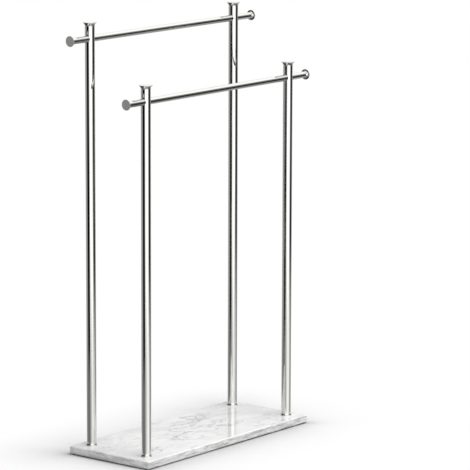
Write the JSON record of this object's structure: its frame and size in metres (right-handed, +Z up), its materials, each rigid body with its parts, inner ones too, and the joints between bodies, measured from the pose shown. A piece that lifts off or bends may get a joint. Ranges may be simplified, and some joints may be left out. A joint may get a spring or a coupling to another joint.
{
  "type": "freestanding towel stand",
  "caption": "Tiered freestanding towel stand: a low front bar and a tall back bar with flared ends, carried by chrome tube posts that rise from a bevelled marble slab.",
  "frame": {"origin": "on the floor below the middle of the slab, which is also the middle of the whole stand", "axes": "+X along the bars to the right, +Y from the low front frame to the tall back frame, +Z up"},
  "size_m": [0.556, 0.202, 0.851],
  "materials": {
    "marble": "polished white marble with soft grey veins",
    "chrome": "mirror polished",
    "zinc_steel": "zinc plated",
    "dark_steel": "black oxide",
    "rubber": "matt"
  },
  "bodies": {
    "root": {"bar_end_back_left": "chrome", "bar_end_back_right": "chrome", "bar_end_front_left": "chrome", "bar_end_front_right": "chrome", "base_bolt_back_left": "zinc_steel", "base_bolt_back_right": "zinc_steel", "base_bolt_front_left": "zinc_steel", "base_bolt_front_right": "zinc_steel", "base_washer_back_left": "zinc_steel", "base_washer_back_right": "zinc_steel", "base_washer_front_left": "zinc_steel", "base_washer_front_right": "zinc_steel", "foot_collar_back_left": "chrome", "foot_collar_back_right": "chrome", "foot_collar_front_left": "chrome", "foot_collar_front_right": "chrome", "foot_pad_back_left": "rubber", "foot_pad_back_right": "rubber", "foot_pad_front_left": "rubber", "foot_pad_front_right": "rubber", "foot_plug_back_left": "zinc_steel", "foot_plug_back_right": "zinc_steel", "foot_plug_front_left": "zinc_steel", "foot_plug_front_right": "zinc_steel", "grub_screw_back_left": "dark_steel", "grub_screw_back_right": "dark_steel", "grub_screw_front_left": "dark_steel", "grub_screw_front_right": "dark_steel", "marble_base": "marble", "post_back_left": "chrome", "post_back_right": "chrome", "post_cap_back_left": "chrome", "post_cap_back_right": "chrome", "post_cap_front_left": "chrome", "post_cap_front_right": "chrome", "post_front_left": "chrome", "post_front_right": "chrome", "towel_bar_back": "chrome", "towel_bar_front": "chrome"}
  },
  "joints": []
}
